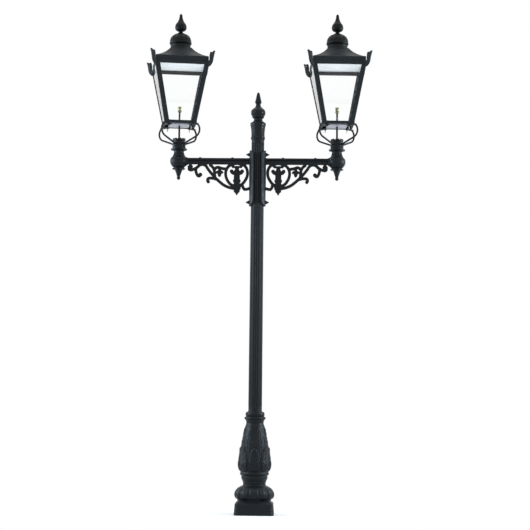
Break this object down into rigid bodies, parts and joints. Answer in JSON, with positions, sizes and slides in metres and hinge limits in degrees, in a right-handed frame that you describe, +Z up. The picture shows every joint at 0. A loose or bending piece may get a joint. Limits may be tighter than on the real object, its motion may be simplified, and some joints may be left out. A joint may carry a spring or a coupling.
{
  "type": "twin-arm lamp post",
  "caption": "Black cast-iron garden lamp post: square plinth, leafed vase, fluted shaft, scroll-bracket arms and square tapered lanterns with hinged roofs.",
  "frame": {"origin": "on the post's axis at ground level, the centre of the ground-stud pattern", "axes": "+Z up along the post, +X along the arms to the right-hand lantern, -Y towards the front"},
  "size_m": [1.7394, 0.5562, 3.8063],
  "materials": {
    "cast_paint": "semi-gloss black paint",
    "lantern_paint": "semi-gloss black paint",
    "clear_glass": "clear",
    "white_enamel": "white enamel",
    "pale_enamel": "pale grey enamel",
    "dull_brass": "dull, darkened",
    "old_brass": "dull",
    "steel_rod": "plain"
  },
  "bodies": {
    "post": {"arm_bolts": "lantern_paint", "base_bowl": "cast_paint", "base_plinth": "cast_paint", "base_vase": "cast_paint", "finial_ball": "cast_paint", "finial_spire": "cast_paint", "fluted_shaft": "cast_paint", "frog_bolts": "old_brass", "hinge_pins": "lantern_paint", "hub_screws": "lantern_paint", "left_arm": "cast_paint", "left_body_hinge_leaves": "lantern_paint", "left_bottom_rails": "lantern_paint", "left_bracket": "cast_paint", "left_corner_frets": "lantern_paint", "left_corner_posts": "lantern_paint", "left_drop": "cast_paint", "left_end_casting": "cast_paint", "left_floor_plate": "pale_enamel", "left_frog_hub": "cast_paint", "left_frog_legs": "lantern_paint", "left_glass_panes": "clear_glass", "left_lamp_stem": "lantern_paint", "left_lampholder": "dull_brass", "left_saddle": "cast_paint", "left_top_rails": "lantern_paint", "neck_collar": "cast_paint", "right_arm": "cast_paint", "right_body_hinge_leaves": "lantern_paint", "right_bottom_rails": "lantern_paint", "right_bracket": "cast_paint", "right_corner_frets": "lantern_paint", "right_corner_posts": "lantern_paint", "right_drop": "cast_paint", "right_end_casting": "cast_paint", "right_floor_plate": "pale_enamel", "right_frog_hub": "cast_paint", "right_frog_legs": "lantern_paint", "right_glass_panes": "clear_glass", "right_lamp_stem": "lantern_paint", "right_lampholder": "dull_brass", "right_saddle": "cast_paint", "right_top_rails": "lantern_paint", "saddle_studs": "lantern_paint", "shaft_head": "cast_paint", "tie_rod": "steel_rod", "tie_rod_nut": "steel_rod"},
    "left_roof": {"left_dome": "lantern_paint", "left_reflector": "white_enamel", "left_roof_hinge_leaves": "lantern_paint", "left_roof_shell": "lantern_paint", "left_spike": "lantern_paint", "left_vent_collar": "lantern_paint"},
    "right_roof": {"right_dome": "lantern_paint", "right_reflector": "white_enamel", "right_roof_hinge_leaves": "lantern_paint", "right_roof_shell": "lantern_paint", "right_spike": "lantern_paint", "right_vent_collar": "lantern_paint"}
  },
  "joints": [
    {"name": "left_roof_hinge", "type": "hinge", "parent": "post", "child": "left_roof", "pos_m": [-0.63519, 0.20643, 3.39915], "axis": [-0.9877, -0.1564, 0], "range_deg": [0, 100]},
    {"name": "right_roof_hinge", "type": "hinge", "parent": "post", "child": "right_roof", "pos_m": [0.59156, 0.20871, 3.39915], "axis": [-0.9986, -0.0523, 0], "range_deg": [0, 100]}
  ]
}
